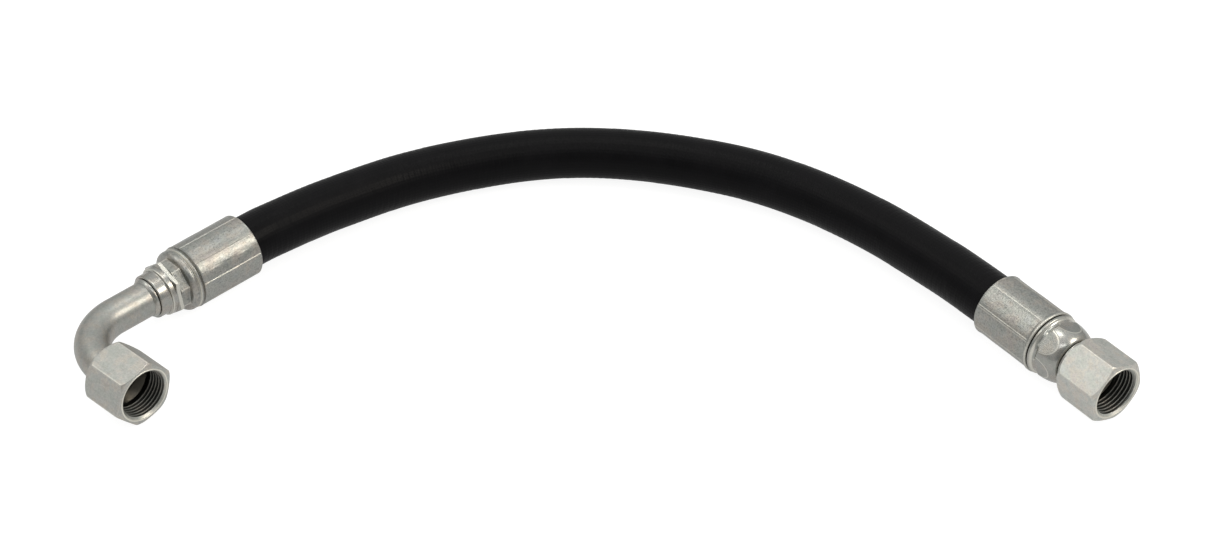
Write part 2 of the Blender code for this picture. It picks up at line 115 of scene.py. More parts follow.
# name, direction, (width, height), energy, colour
LIGHTS = (
    ("right_softbox", (0.70, -0.155, 0.70), (0.60, 0.62), 8.0, (1.0, 0.92, 0.81)),
    ("left_softbox", (-0.58, 0.12, 0.80), (0.70, 0.60), 2.6, (1.0, 0.97, 0.90)),
    ("front_softbox", (0.0, -0.47, 0.88), (1.3, 0.26), 3.0, (1.0, 1.0, 1.0)),
    ("top_softbox", (0.0, 0.22, 0.975), (0.50, 0.44), 3.0, (1.0, 0.98, 0.94)),
)


def add_camera():
    """Straight in front of the assembly, looking down at the photograph's angle."""
    data = bpy.data.cameras.new("camera")
    data.lens = CAMERA_LENS
    data.sensor_width = CAMERA_SENSOR
    camera = bpy.data.objects.new("camera", data)
    back = Vector((0, -math.cos(CAMERA_ELEVATION), math.sin(CAMERA_ELEVATION)))
    camera.location = CAMERA_TARGET + back * CAMERA_DISTANCE
    camera.rotation_euler = (QUARTER - CAMERA_ELEVATION, 0, 0)
    bpy.context.scene.collection.objects.link(camera)
    bpy.context.scene.camera = camera


# ---------------------------------------------------------------- shapes


def fitting_frame(origin, heading):
    """+Z along the heading in plan, +X down."""
    turn = Matrix.Rotation(heading, 4, "Z") @ Matrix.Rotation(QUARTER, 4, "Y")
    return Matrix.Translation(Vector(origin)) @ turn


def along(mouth, heading, distance):
    """A point on a fitting's axis, this far from its ferrule's mouth."""
    return (
        mouth[0] + distance * math.cos(heading),
        mouth[1] + distance * math.sin(heading),
        AXIS_HEIGHT,
    )


def mesh_piece(name, points, faces, lay, material, sharp=40, place=Matrix(), masks=()):
    """A piece from its points and quads in its own frame. The materials read "lay", each
    corner's (height along the axis, turn round it, radius), "local", each point's place, and
    two masks: "inside", 1 deep in a bore, where the plating is darkened as oil and as painted
    shade of the recess, and "edge", 1 on edges that are lightened as polish and as painted
    highlight."""
    matrix = np.array(place)
    mesh = bpy.data.meshes.new(name)
    mesh.from_pydata((points @ matrix[:3, :3].T + matrix[:3, 3]).tolist(), [], faces.tolist())
    corners = mesh.attributes.new("lay", "FLOAT_VECTOR", "CORNER")
    corners.data.foreach_set("vector", lay.astype(np.float32).ravel())
    local = mesh.attributes.new("local", "FLOAT_VECTOR", "POINT")
    local.data.foreach_set("vector", points.astype(np.float32).ravel())
    for mask, values in masks:
        spread = mesh.attributes.new(mask, "FLOAT", "POINT")
        spread.data.foreach_set("value", values.astype(np.float32).ravel())
    mesh.shade_smooth()
    mesh.set_sharp_from_angle(angle=math.radians(sharp))
    mesh.materials.append(material)
    piece = bpy.data.objects.new(name, mesh)
    bpy.context.scene.collection.objects.link(piece)
    return piece


def grid_faces(rows, columns, loop_rows):
    """Quads of a grid that closes round its columns, and also its rows if loop_rows."""
    i = np.arange(rows if loop_rows else rows - 1)[:, None]
    j = np.arange(columns)[None, :]
    a = i * columns + j
    b = i * columns + (j + 1) % columns
    c = (i + 1) % rows * columns + (j + 1) % columns
    d = (i + 1) % rows * columns + j
    return np.stack([a, b, c, d], axis=-1).reshape(-1, 4)


def grid_lay(rows, columns, loop_rows, height, turn, radius):
    """For each face corner: (height along the axis, turn round it, radius)."""
    count = rows if loop_rows else rows - 1
    i = np.arange(count)
    j = np.arange(columns)
    turn = np.append(turn, turn[0] + 1.0)
    lay = np.empty((count, columns, 4, 3))
    for corner, (row, column) in enumerate(((0, 0), (0, 1), (1, 1), (1, 0))):
        rows_at = (i + row) % rows
        lay[:, :, corner, 0] = height[rows_at][:, j]
        lay[:, :, corner, 1] = turn[j + column][None, :]
        lay[:, :, corner, 2] = radius[rows_at][:, j]
    return lay.reshape(-1, 3)


def turned(name, place, radius, height, turns, material, sharp=40, inside=None, edge=None):
    """A closed ring: rows of (radius, height) run up the outer side and back down the bore,
    and each row may change its radius and height from turn to turn."""
    rows, columns = radius.shape
    angle = TURN * turns
    points = np.stack([radius * np.cos(angle), radius * np.sin(angle), height], axis=-1)
    faces = grid_faces(rows, columns, True)
    lay = grid_lay(rows, columns, True, height, turns, radius)
    points = points.reshape(-1, 3)
    pairs = (("inside", inside), ("edge", edge))
    masks = [(mask, values) for mask, values in pairs if values is not None]
    return mesh_piece(name, points, faces, lay, material, sharp, place, masks)


def crease(first, second, width):
    """1 where two surfaces given by their radii cross, fading out over this difference."""
    return 1 - smooth_step(0.2 * width, width, np.abs(first - second))


def rows_of(outline, columns):
    """The same radius and height at every turn, ready to be changed where a shape needs it."""
    outline = np.array(outline)
    radius = np.repeat(outline[:, :1], columns, axis=1)
    height = np.repeat(outline[:, 1:], columns, axis=1)
    return radius, height


def even_turns(columns):
    """Turns in equal steps, from 0 up to but not at 1."""
    return np.arange(columns) / columns


def corner_turns(roll, sides=6, per_side=56, bunch=0.82):
    """Turns bunched up at a polygon's corners, the first of which is at the roll."""
    t = np.arange(per_side) / per_side
    warped = t - bunch * np.sin(TURN * t) / TURN
    return np.concatenate([(side + warped) / sides for side in range(sides)]) + roll / TURN


def arc(centre, size, start, end, steps):
    """Outline points of an elliptic arc; its angles rise from the radius axis towards +z."""
    angle = np.linspace(start, end, steps + 1)
    radius = centre[0] + size[0] * np.cos(angle)
    return list(zip(radius, centre[1] + size[1] * np.sin(angle)))


def line(start, end, steps):
    """Outline points from start up to, but not at, end."""
    t = np.arange(steps) / steps
    radius = start[0] + (end[0] - start[0]) * t
    return list(zip(radius, start[1] + (end[1] - start[1]) * t))


def soft_min(a, b, width):
    """The lesser of two, with the crease between them rounded over this width."""
    h = np.clip(0.5 + 0.5 * (b - a) / width, 0.0, 1.0)
    return b * (1 - h) + a * h - width * h * (1 - h)


def smooth_step(low, high, value):
    """0 at low, 1 at high, with no kink at either end. low may be the greater."""
    t = np.clip((value - low) / (high - low), 0.0, 1.0)
    return t * t * (3 - 2 * t)


def polygon_radius(turns, sides, apothem, roll, round_over):
    """Distance from the axis to a regular polygon with slightly rounded corners."""
    angle = TURN * turns - roll
    sector = TURN / sides
    inside = np.mod(angle, sector) - sector / 2
    flat = apothem / np.cos(inside)
    corner = apothem / math.cos(sector / 2)
    return soft_min(flat, np.full_like(flat, corner), round_over)


# ---------------------------------------------------------------- hose


def smooth_route(points, spacing):
    """Points at even spacing on a Catmull-Rom curve through the route's own points."""
    ends = [2 * points[0] - points[1], *points, 2 * points[-1] - points[-2]]
    fine = []
    for before, start, end, after in zip(ends, ends[1:], ends[2:], ends[3:]):
        for step in range(ROUTE_STEPS):
            t = step / ROUTE_STEPS
            fine.append(
                0.5
                * (
                    2 * start
                    + (end - before) * t
                    + (2 * before - 5 * start + 4 * end - after) * t**2
                    + (3 * start - before - 3 * end + after) * t**3
                )
            )
    fine.append(points[-1])
    fine = np.array([tuple(point) for point in fine])
    travelled = np.concatenate([[0], np.cumsum(np.linalg.norm(np.diff(fine, axis=0), axis=1))])
    count = int(round(travelled[-1] / spacing)) + 1
    even = np.linspace(0, travelled[-1], count)
    return np.stack([np.interp(even, travelled, fine[:, k]) for k in range(3)], axis=1), even


def sweep_frames(path):
    """Sideways and upward unit vectors at each point of a nearly level path."""
    ahead = np.gradient(path, axis=0)
    ahead /= np.linalg.norm(ahead, axis=1)[:, None]
    side = np.cross((0.0, 0.0, 1.0), ahead)
    side /= np.linalg.norm(side, axis=1)[:, None]
    return side, np.cross(ahead, side)


def hose_path():
    """The hose's centre line, which starts and ends inside the two ferrules."""
    elbow = along(ELBOW_MOUTH, ELBOW_HEADING, HOSE_INSIDE_FERRULE)
    straight = along(STRAIGHT_MOUTH, STRAIGHT_HEADING, HOSE_INSIDE_FERRULE)
    route = [
        Vector(elbow),
        Vector((*ELBOW_MOUTH, AXIS_HEIGHT)),
        *(Vector(point) for point in HOSE_ROUTE),
        Vector((*STRAIGHT_MOUTH, AXIS_HEIGHT)),
        Vector(straight),
    ]
    return smooth_route(route, HOSE_ROW)


def tube_grid(path, outer, inner, turns):
    """Points, faces and lay of a hollow tube: rows up its outside, then back down its bore.
    outer holds a radius for each row and turn, and inner is one (rows, radius) pair."""
    side, up = sweep_frames(path)
    steps = np.linalg.norm(np.diff(path, axis=0), axis=1)
    travelled = np.concatenate([[0], np.cumsum(steps)])
    rows, bore = inner
    bore = np.full((len(rows), len(turns)), bore)
    at = np.concatenate([np.arange(len(path)), rows])
    radius = np.concatenate([outer, bore])
    angle = TURN * turns - QUARTER
    around = (
        np.cos(angle)[None, :, None] * side[at][:, None, :]
        + np.sin(angle)[None, :, None] * up[at][:, None, :]
    )
    points = path[at][:, None, :] + radius[:, :, None] * around
    height = travelled[at][:, None].repeat(len(turns), axis=1)
    faces = grid_faces(len(at), len(turns), True)[:, ::-1]
    lay = grid_lay(len(at), len(turns), True, height, turns, radius)
    lay = lay.reshape(-1, 4, 3)[:, ::-1].reshape(-1, 3)
    return points.reshape(-1, 3), faces, lay


def add_hose(material):
    """The wrapped hose, hollow, as one cord from inside one ferrule to inside the other."""
    path, travelled = hose_path()
    turns = even_turns(96)
    share = (travelled / travelled[-1])[:, None]
    # Worked a little thinner over the middle of the bend, and fuller at the straight end
    girth = HOSE_RADIUS - HOSE_THINNING * np.exp(-(((share - 0.44) / 0.13) ** 2))
    girth = girth + HOSE_FULLNESS * smooth_step(0.55, 0.9, share)
    # The wrap's low ribs wind round the hose, and its overlap runs the other way
    along_hose = travelled[:, None]
    rib = np.sin(TURN * (along_hose / WRAP_RIB_PITCH + WRAP_RIB_STARTS * turns[None, :]))
    swell = np.sin(TURN * (along_hose / WRAP_SWELL_PITCH + turns[None, :]) + 1.1)
    overlap = np.mod(along_hose / WRAP_PITCH - turns[None, :], 1.0)
    step = smooth_step(0.0, 0.03, overlap) - overlap
    outer = girth + WRAP_RIB_HEIGHT * rib * (0.6 + 0.4 * swell) + WRAP_STEP * step
    inner = (np.arange(len(path) - 1, -1, -6), girth.min() - HOSE_WALL)
    points, faces, lay = tube_grid(path, outer, inner, turns)
    hose = mesh_piece("hose", points, faces, lay, material, 60)
    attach(hose, ROOT)
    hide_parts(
        "hose_cover",
        "hose_outer_braid",
        "hose_separator",
        "hose_inner_braid",
        "hose_inner_tube",
    )


# ---------------------------------------------------------------- materials


class Shading:
    """A Principled material being wired up, with one short method for each kind of node."""

    def __init__(self, name, metallic):
        self.material = bpy.data.materials.new(name)
        self.material.use_nodes = True
        self.tree = self.material.node_tree
        self.shader = self.tree.nodes["Principled BSDF"]
        self.shader.inputs["Metallic"].default_value = metallic

    def node(self, kind, links, **settings):
        """A node with its inputs linked or set by name or number."""
        made = self.tree.nodes.new(kind)
        for key, value in settings.items():
            setattr(made, key, value)
        for key, value in links.items():
            if isinstance(value, bpy.types.NodeSocket):
                self.tree.links.new(value, made.inputs[key])
            else:
                made.inputs[key].default_value = value
        return made

    def mask(self, name):
        return self.node("ShaderNodeAttribute", {}, attribute_name=name).outputs["Fac"]

    def attribute(self, name):
        return self.node("ShaderNodeAttribute", {}, attribute_name=name).outputs["Vector"]

    def object_place(self):
        return self.node("ShaderNodeTexCoord", {}).outputs["Object"]

    def parts(self, vector):
        return self.node("ShaderNodeSeparateXYZ", {"Vector": vector}).outputs

    def stretched(self, vector, scale):
        links = {"Vector": vector, "Scale": scale}
        return self.node("ShaderNodeMapping", links).outputs["Vector"]

    def noise(self, vector, scale, detail=2.0, roughness=0.5):
        links = {"Vector": vector, "Scale": scale, "Detail": detail, "Roughness": roughness}
        return self.node("ShaderNodeTexNoise", links).outputs["Fac"]

    def mixed(self, first, first_share, second, second_share):
        """The sum of two values, each times its share."""
        first = self.maths("MULTIPLY", first, first_share)
        return self.maths("ADD", first, self.maths("MULTIPLY", second, second_share))

    def maths(self, operation, first, second):
        made = self.node("ShaderNodeMath", {0: first, 1: second}, operation=operation)
        return made.outputs["Value"]

    def spread(self, value, low, high, start=0.0, end=1.0):
        links = {"Value": value, 1: low, 2: high, 3: start, 4: end}
        return self.node("ShaderNodeMapRange", links).outputs["Result"]

    def ramp(self, factor, stops):
        made = self.node("ShaderNodeValToRGB", {"Fac": factor})
        elements = made.color_ramp.elements
        while len(elements) < len(stops):
            elements.new(0.5)
        for element, (position, colour) in zip(elements, stops):
            element.position = position
            element.color = (*colour, 1)
        return made.outputs["Color"]

    def blend(self, factor, first, second, how="MIX"):
        links = {"Factor": factor, 6: first, 7: second}
        made = self.node("ShaderNodeMix", links, data_type="RGBA", blend_type=how)
        return made.outputs[2]

    def bump(self, height, distance, strength=1.0, below=None):
        links = {"Height": height, "Distance": distance, "Strength": strength}
        if below is not None:
            links["Normal"] = below
        return self.node("ShaderNodeBump", links).outputs["Normal"]

    def finish(self, colour, roughness, normal):
        surface = {"Base Color": colour, "Roughness": roughness, "Normal": normal}
        for socket, value in surface.items():
            self.tree.links.new(value, self.shader.inputs[socket])
        return self.material


RUBBER_SHINE = 0.09
WEAVE_ROUND = 24.0
WEAVE_PER_METRE = 270.0
RUBBER_BLACKS = (
    (0.30, (0.0016, 0.0015, 0.0019)),
    (0.55, (0.0030, 0.0028, 0.0034)),
    (0.75, (0.0065, 0.0061, 0.0070)),
)
WIRE_YELLOWS = ((0.3, (0.46, 0.44, 0.34)), (0.7, (0.62, 0.58, 0.44)))
COOL = (0.362, 0.370, 0.360)
GREEN = (0.374, 0.382, 0.352)
NEUTRAL = (0.395, 0.391, 0.372)
WARM = (0.425, 0.405, 0.364)
PINK = (0.410, 0.385, 0.364)
TINTS = ((0.32, COOL), (0.42, GREEN), (0.50, NEUTRAL), (0.58, WARM), (0.68, PINK))
STREAKS = ((0.30, (0.82, 0.82, 0.81)), (0.52, (0.97, 0.97, 0.97)), (0.72, (1.0, 1.0, 1.0)))
LIGHT_SPECKS = ((0.50, (0.98, 0.98, 0.98)), (0.66, (1.10, 1.10, 1.08)))
# Edge colour: polished zinc with a painted highlight
POLISHED_AND_PAINTED_HIGHLIGHT = (0.78, 0.76, 0.68, 1)
# Bore colours: oil-darkened plating with painted shade of the recess
DULL_OIL_AND_PAINTED_SHADE = (0.13, 0.12, 0.10)
BORE_OIL_AND_PAINTED_SHADE = (0.055, 0.055, 0.05)


def wrapped_rubber():
    """Black cover rubber, cured under a cloth wrap that left its weave in the surface."""
    paint = Shading("wrapped_rubber", 0.0)
    paint.shader.inputs["Specular IOR Level"].default_value = RUBBER_SHINE
    lay = paint.parts(paint.attribute("lay"))
    girth = paint.maths("MULTIPLY", lay["Y"], WEAVE_ROUND)
    length = paint.maths("MULTIPLY", lay["X"], WEAVE_PER_METRE)
    sheet = paint.node("ShaderNodeCombineXYZ", {"X": girth, "Y": length}).outputs["Vector"]
    ridges = []
    for direction in ("ADD", "SUBTRACT"):
        thread = paint.maths("MULTIPLY", paint.maths(direction, girth, length), TURN)
        ridges.append(paint.maths("SINE", thread, 0.0))
    weave = paint.maths("MULTIPLY", ridges[0], ridges[1])
    blotch = paint.noise(paint.attribute("local"), 45.0, 4.0, 0.6)
    grit = paint.noise(paint.attribute("local"), 2600.0, 3.0, 0.65)
    scuff = paint.noise(paint.stretched(sheet, (1.0, 0.10, 1.0)), 0.8, 4.0, 0.7)
    colour = paint.ramp(paint.mixed(blotch, 0.7, grit, 0.3), RUBBER_BLACKS)
    worn = paint.maths("ADD", blotch, paint.maths("MULTIPLY", scuff, 0.5))
    roughness = paint.spread(worn, 0.45, 1.05, 0.32, 0.50)
    normal = paint.bump(grit, 0.00004, 0.6)
    normal = paint.bump(weave, 0.00005, 0.5, normal)
    return paint.finish(colour, roughness, normal)


def zinc(name, strength, roughness, grain, grain_depth, speckle, oil_and_shade_colour=DULL_OIL_AND_PAINTED_SHADE):
    """Bright zinc plating over drawn, turned or pressed steel: cloudy passivation colours, the
    steel's own grain, a fine speckle, and edges lightened as polish and as painted highlight.
    Inside a bore it is darkened as oil and as painted shade.
    roughness is (least, most), grain is "lengthwise" or "round" with its depth in metres, and
    speckle is (darkest tone, bump height)."""
    paint = Shading(name, 1.0)
    local = paint.attribute("local")
    lay = paint.attribute("lay")
    cloud = paint.noise(local, 150.0, 4.0, 0.6)
    patch = paint.noise(paint.stretched(local, (1.0, 1.0, 0.45)), 480.0, 3.0, 0.6)
    if grain == "lengthwise":
        lines = paint.noise(paint.stretched(local, (1.0, 1.0, 0.035)), 2400.0, 3.0, 0.6)
    else:
        lines = paint.noise(paint.stretched(lay, (1.0, 0.0012, 0.0)), 3200.0, 3.0, 0.6)
    speck = paint.noise(local, 1050.0, 4.0, 0.75)
    fine = paint.noise(local, 4200.0, 2.0, 0.6)
    tone = paint.ramp(cloud, [(at, [strength * part for part in tint]) for at, tint in TINTS])
    streaks = paint.ramp(paint.mixed(patch, 0.6, lines, 0.4), STREAKS)
    spots = paint.ramp(speck, ((0.36, [speckle[0]] * 3), *LIGHT_SPECKS))
    colour = paint.blend(1.0, paint.blend(1.0, tone, streaks, "MULTIPLY"), spots, "MULTIPLY")
    rough = paint.spread(paint.maths("ADD", cloud, lines), 0.7, 1.3, roughness[0], roughness[1])
    # Edges get a lighter colour: polish, and a painted highlight
    colour = paint.blend(paint.mask("edge"), colour, POLISHED_AND_PAINTED_HIGHLIGHT)
    # Deep in a bore the colour darkens: oil, and painted shade of the recess
    inside = paint.mask("inside")
    colour = paint.blend(inside, colour, (*oil_and_shade_colour, 1))
    rough = paint.maths("ADD", rough, paint.maths("MULTIPLY", inside, 0.15))
    normal = paint.bump(fine, 0.00001, 0.5)
    normal = paint.bump(lines, grain_depth, 0.8, normal)
    normal = paint.bump(speck, speckle[1], 0.7, normal)
    normal = paint.bump(patch, 0.00003, 0.5, normal)
    return paint.finish(colour, rough, normal)


def spring_wire():
    """Drawn wire, zinc plated to a yellowish brightness."""
    paint = Shading("plated_spring_wire", 1.0)
    place = paint.object_place()
    cloud = paint.noise(place, 600.0, 3.0, 0.6)
    fine = paint.noise(place, 5200.0, 2.0, 0.6)
    colour = paint.ramp(cloud, WIRE_YELLOWS)
    roughness = paint.spread(cloud, 0.3, 0.7, 0.22, 0.40)
    return paint.finish(colour, roughness, paint.bump(fine, 0.00001, 0.6))


# ---------------------------------------------------------------- fittings

FERRULE_RADIUS = 17.6 * MM
FERRULE_BORE = 14.7 * MM
FERRULE_RIM = 15.9 * MM
TAIL_BORE = 10.1 * MM
FERRULE_EDGE = 0.4 * MM
ELBOW_FERRULE_LENGTH = 51.1 * MM
ELBOW_FERRULE_SHELF = 45.0 * MM
STRAIGHT_FERRULE_LENGTH = 39.0 * MM
STRAIGHT_FERRULE_SHELF = 35.2 * MM
DIES = 8
DIE_SECTOR = TURN / DIES
DIE_FLANK = 0.32 * MM
RIB_UNEVENNESS = 0.04 * MM
ELBOW_DIE_PHASE = math.radians(11.5)
STRAIGHT_DIE_PHASE = math.radians(17.5)
STAKE_APOTHEM = 13.15 * MM
STAKE_TURN = math.radians(19.5)
FLANGE_APOTHEM = 13.7 * MM
FLANGE_TURN = math.radians(9.5)
BODY_APOTHEM = 15.1 * MM
BODY_TURN = math.radians(14)
NECK_RADIUS = 9.8 * MM
NIPPLE_BORE = 7.2 * MM
TUBE_RADIUS = 9.525 * MM
TUBE_WALL = 1.65 * MM
TUBE_SEAT = 57.0 * MM
SOCKET_RADIUS = 9.9 * MM
BRAZE_BORE = 9.58 * MM
HUB_BRAZE = (63.1 * MM, 65.5 * MM)
HEAD_RADIUS = 11.8 * MM
SEAT_DEPTH = 13.0 * MM
SEAT_RIM = 10.8 * MM
SEAT_BORE = 7.8 * MM
SEAT_ANGLE = math.radians(37)
NUT_LENGTH = 27.7 * MM
NUT_APOTHEM = 15.875 * MM
NUT_BLANK_RADIUS = 18.6 * MM
NUT_REAR_BORE = 12.1 * MM
ELBOW_NUT_ROLL = math.radians(42.9)
STRAIGHT_NUT_ROLL = math.radians(12.4)
THREAD_PITCH = 25.4 * MM / 12
THREAD_RELIEF = 13.6 * MM
COUNTERSINK = 14.38 * MM


def crimped(radius, height, turns, start, end, phase, die, rib):
    """Presses eight dies into the rows between two heights. Each die leaves a nearly round
    face, lower by its depth at the middle, and the metal that rose between two dies is a rib.
    die is (radius at the rib, depth at the middle) and rib is (height, half its width).
    It gives the new radii, and 1 on the ribs' flanks."""
    angle = TURN * turns[None, :] - phase
    off = (np.mod(angle + DIE_SECTOR / 2, DIE_SECTOR) - DIE_SECTOR / 2) * FERRULE_RADIUS
    middle = np.cos(np.pi * off / (DIE_SECTOR * FERRULE_RADIUS)) ** 2
    pressed = die[0] - die[1] * (1 - middle)
    beside = smooth_step(rib[1] - DIE_FLANK, rib[1] + DIE_FLANK, np.abs(off))
    pressed = pressed + rib[0] * (1 - beside)
    # Each rib is a little uneven along its length
    number = np.floor((angle + DIE_SECTOR / 2) / DIE_SECTOR)
    pressed = pressed + RIB_UNEVENNESS * np.sin(height / (3.1 * MM) + 2.4 * number)
    inside = smooth_step(start, start + 0.8 * MM, height)
    inside = inside * (1 - smooth_step(end - 0.5 * MM, end, height))
    outer = radius > 16.0 * MM
    flanks = crease(np.abs(off), rib[1], 0.55 * MM) * inside * outer
    return np.where(outer, radius - inside * np.maximum(radius - pressed, 0), radius), flanks


def ferrule_mouth():
    """The rolled edge where the hose goes in, up to where the outer side starts."""
    return [
        *line((FERRULE_BORE + FERRULE_EDGE, 0), (FERRULE_RIM, 0), 3),
        *arc((FERRULE_RIM, 1.5 * MM), (1.7 * MM, 1.5 * MM), -QUARTER, 0, 12),
    ]


def ferrule_bore(length, shelf):
    """From the tail's end back down to the mouth, with the shelf that the hose stops at."""
    return [
        *line((TAIL_BORE, length), (TAIL_BORE, shelf), 3),
        *line((TAIL_BORE, shelf), (FERRULE_BORE, shelf), 3),
        *line((FERRULE_BORE, shelf), (FERRULE_BORE, FERRULE_EDGE), 12),
    ]


def add_elbow_ferrule(place, material):
    """The elbow end's ferrule: eight dies, a rolled shoulder, and a staked tail of eight
    small flats with the marks of the tool round them."""
    turns = corner_turns(ELBOW_DIE_PHASE, DIES, 52, 0.55)
    outline = [
        *ferrule_mouth(),
        *line((FERRULE_RADIUS, 1.8 * MM), (FERRULE_RADIUS, 38.2 * MM), 72),
        *arc((17.0 * MM, 38.2 * MM), (0.6 * MM, 0.5 * MM), 0, QUARTER, 5),
        (16.6 * MM, 38.8 * MM),
        (16.4 * MM, 39.0 * MM),
        *arc((16.0 * MM, 40.1 * MM), (1.1 * MM, 1.0 * MM), -0.7 * QUARTER, 0.6 * QUARTER, 12),
        *arc(
            (17.35 * MM, 42.0 * MM), (-0.95 * MM, 0.75 * MM), -0.7 * QUARTER, 0.7 * QUARTER, 8
        ),
        *arc((14.6 * MM, 43.1 * MM), (2.3 * MM, 2.6 * MM), -0.05 * QUARTER, QUARTER, 20),
        *line((14.5 * MM, 45.8 * MM), (14.5 * MM, ELBOW_FERRULE_LENGTH), 54),
        *line((14.5 * MM, ELBOW_FERRULE_LENGTH), (TAIL_BORE, ELBOW_FERRULE_LENGTH), 3),
        *ferrule_bore(ELBOW_FERRULE_LENGTH, ELBOW_FERRULE_SHELF),
    ]
    radius, height = rows_of(outline, len(turns))
    die = (17.28 * MM, 0.0)
    rib = (0.38 * MM, 0.85 * MM)
    radius, edge = crimped(
        radius, height, turns, 0.5 * MM, 38.6 * MM, ELBOW_DIE_PHASE, die, rib
    )
    tail = smooth_step(45.4 * MM, 46.0 * MM, height) * (radius > 12 * MM)
    staked = polygon_radius(turns, DIES, STAKE_APOTHEM, STAKE_TURN, 0.06 * MM)[None, :]
    corner = smooth_step(14.0 * MM, 14.12 * MM, staked) * tail
    marks = 0.05 * MM * np.sin(TURN * height / (0.62 * MM))
    lip = 0.22 * MM * smooth_step(50.2 * MM, 50.5 * MM, height)
    pressed_in = tail * np.maximum(radius - staked - marks - lip, 0)
    radius = np.where(tail > 0, radius - pressed_in, radius)
    # The rib flanks, the staked flats' corners and a line on the shoulder get the lighter edge
    # colour: polish and painted highlight
    shoulder = crease(height, 41.0 * MM, 0.7 * MM) * (radius > 15 * MM)
    edge = np.maximum(np.maximum(0.12 * edge, 0.6 * corner), 0.7 * shoulder)
    piece = turned(
        "elbow_ferrule_crimped", place, radius, height, turns, material, edge=edge
    )
    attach(piece, ROOT)
    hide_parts("elbow_ferrule")


def add_elbow_nipple(place, material):
    """What shows of the elbow end's nipple: its thin hexagonal flange, hub and tube socket."""
    turns = corner_turns(FLANGE_TURN, per_side=48)
    outline = [
        *line((NECK_RADIUS, 45.5 * MM), (NECK_RADIUS, 51.3 * MM), 2),
        *line((NECK_RADIUS, 51.3 * MM), (15.6 * MM, 51.3 * MM), 6),
        *arc((15.5 * MM, 51.6 * MM), (0.3 * MM, 0.3 * MM), -QUARTER, 0, 3),
        *line((15.8 * MM, 51.8 * MM), (15.8 * MM, 53.0 * MM), 6),
        *line((15.8 * MM, 53.0 * MM), (13.6 * MM, 53.9 * MM), 12),
        *line((13.6 * MM, 53.9 * MM), (13.5 * MM, 56.0 * MM), 6),
        *arc((12.9 * MM, 56.0 * MM), (0.6 * MM, 0.6 * MM), 0, QUARTER, 5),
        *line((12.5 * MM, 56.6 * MM), (12.2 * MM, 56.8 * MM), 2),
        *line((12.15 * MM, TUBE_SEAT), (12.1 * MM, 62.0 * MM), 12),
        *arc((11.4 * MM, 62.1 * MM), (0.7 * MM, 0.7 * MM), 0, QUARTER, 6),
        *line((11.0 * MM, 62.8 * MM), (SOCKET_RADIUS, 62.8 * MM), 3),
        *line((SOCKET_RADIUS, 62.8 * MM), (SOCKET_RADIUS, TUBE_SEAT), 3),
        *line((SOCKET_RADIUS, TUBE_SEAT), (NIPPLE_BORE, TUBE_SEAT), 3),
        *line((NIPPLE_BORE, TUBE_SEAT), (NIPPLE_BORE, 45.5 * MM), 3),
    ]
    radius, height = rows_of(outline, len(turns))
    hexagon = polygon_radius(turns, 6, FLANGE_APOTHEM, FLANGE_TURN, 0.12 * MM)[None, :]
    flange = (height > 51.2 * MM) & (height < 53.95 * MM) & (radius > 11 * MM)
    radius = np.where(flange, soft_min(radius, hexagon, 0.12 * MM), radius)
    # The flange's edge and a ring on the hub get the lighter edge colour: polish and painted
    # highlight
    edge = 0.55 * (flange & (height < 53.3 * MM) & (radius > 13.2 * MM))
    edge = edge + 0.5 * crease(height, 56.3 * MM, 0.6 * MM) * (radius > 12 * MM)
    piece = turned("elbow_nipple_hub", place, radius, height, turns, material, edge=edge)
    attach(piece, ROOT)
    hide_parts("elbow_nipple")


def elbow_tube_path():
    """Centre line of the bent tube, from inside the hub to inside the swivel head."""
    first = np.array([math.cos(ELBOW_HEADING), math.sin(ELBOW_HEADING), 0.0])
    inward = np.array([-first[1], first[0], 0.0])
    mouth = np.array([*ELBOW_MOUTH, AXIS_HEIGHT])
    reach = BEND_RADIUS * math.tan(ELBOW_SWEEP / 2)
    centre = mouth + first * (ELBOW_CORNER - reach) + inward * BEND_RADIUS
    start = TUBE_SEAT + 0.4 * MM
    points = [mouth + first * s for s in np.linspace(start, ELBOW_CORNER - reach, 16)[:-1]]
    for angle in np.linspace(0, ELBOW_SWEEP, 48):
        arm = first * math.sin(angle) - inward * math.cos(angle)
        points.append(centre + BEND_RADIUS * arm)
    corner = mouth + first * ELBOW_CORNER
    last = first * math.cos(ELBOW_SWEEP) + inward * math.sin(ELBOW_SWEEP)
    end = ELBOW_DROP - NUT_LENGTH + 7.2 * MM
    points.extend(corner + last * s for s in np.linspace(reach, end, 8)[1:])
    return np.array(points)


def add_elbow_tube(material):
    """The bent tube, hollow from end to end."""
    path = elbow_tube_path()
    turns = even_turns(112)
    outer = np.full((len(path), len(turns)), TUBE_RADIUS)
    inner = (np.arange(len(path) - 1, -1, -1), TUBE_RADIUS - TUBE_WALL)
    points, faces, lay = tube_grid(path, outer, inner, turns)
    tube = mesh_piece("elbow_tube_bent", points, faces, lay, material)
    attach(tube, ROOT)
    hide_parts("elbow_tube")


def add_braze(name, cad, place, root, tip, material):
    """The concave fillet of braze round the tube, from its thick root to its thin tip."""
    sign = 1 if tip > root else -1
    outline = [
        (BRAZE_BORE, root),
        (BRAZE_BORE + 1.15 * MM, root),
        (BRAZE_BORE + 1.2 * MM, root + sign * 0.5 * MM),
        (BRAZE_BORE + 1.0 * MM, root + sign * 1.1 * MM),
        (BRAZE_BORE + 0.5 * MM, root + sign * 1.7 * MM),
        (BRAZE_BORE + 0.15 * MM, root + sign * 2.3 * MM),
        (BRAZE_BORE, tip),
    ]
    if sign < 0:
        outline = outline[::-1]
    turns = even_turns(96)
    radius, height = rows_of(outline, len(turns))
    piece = turned(name, place, radius, height, turns, material, 60)
    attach(piece, ROOT)
    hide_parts(cad)


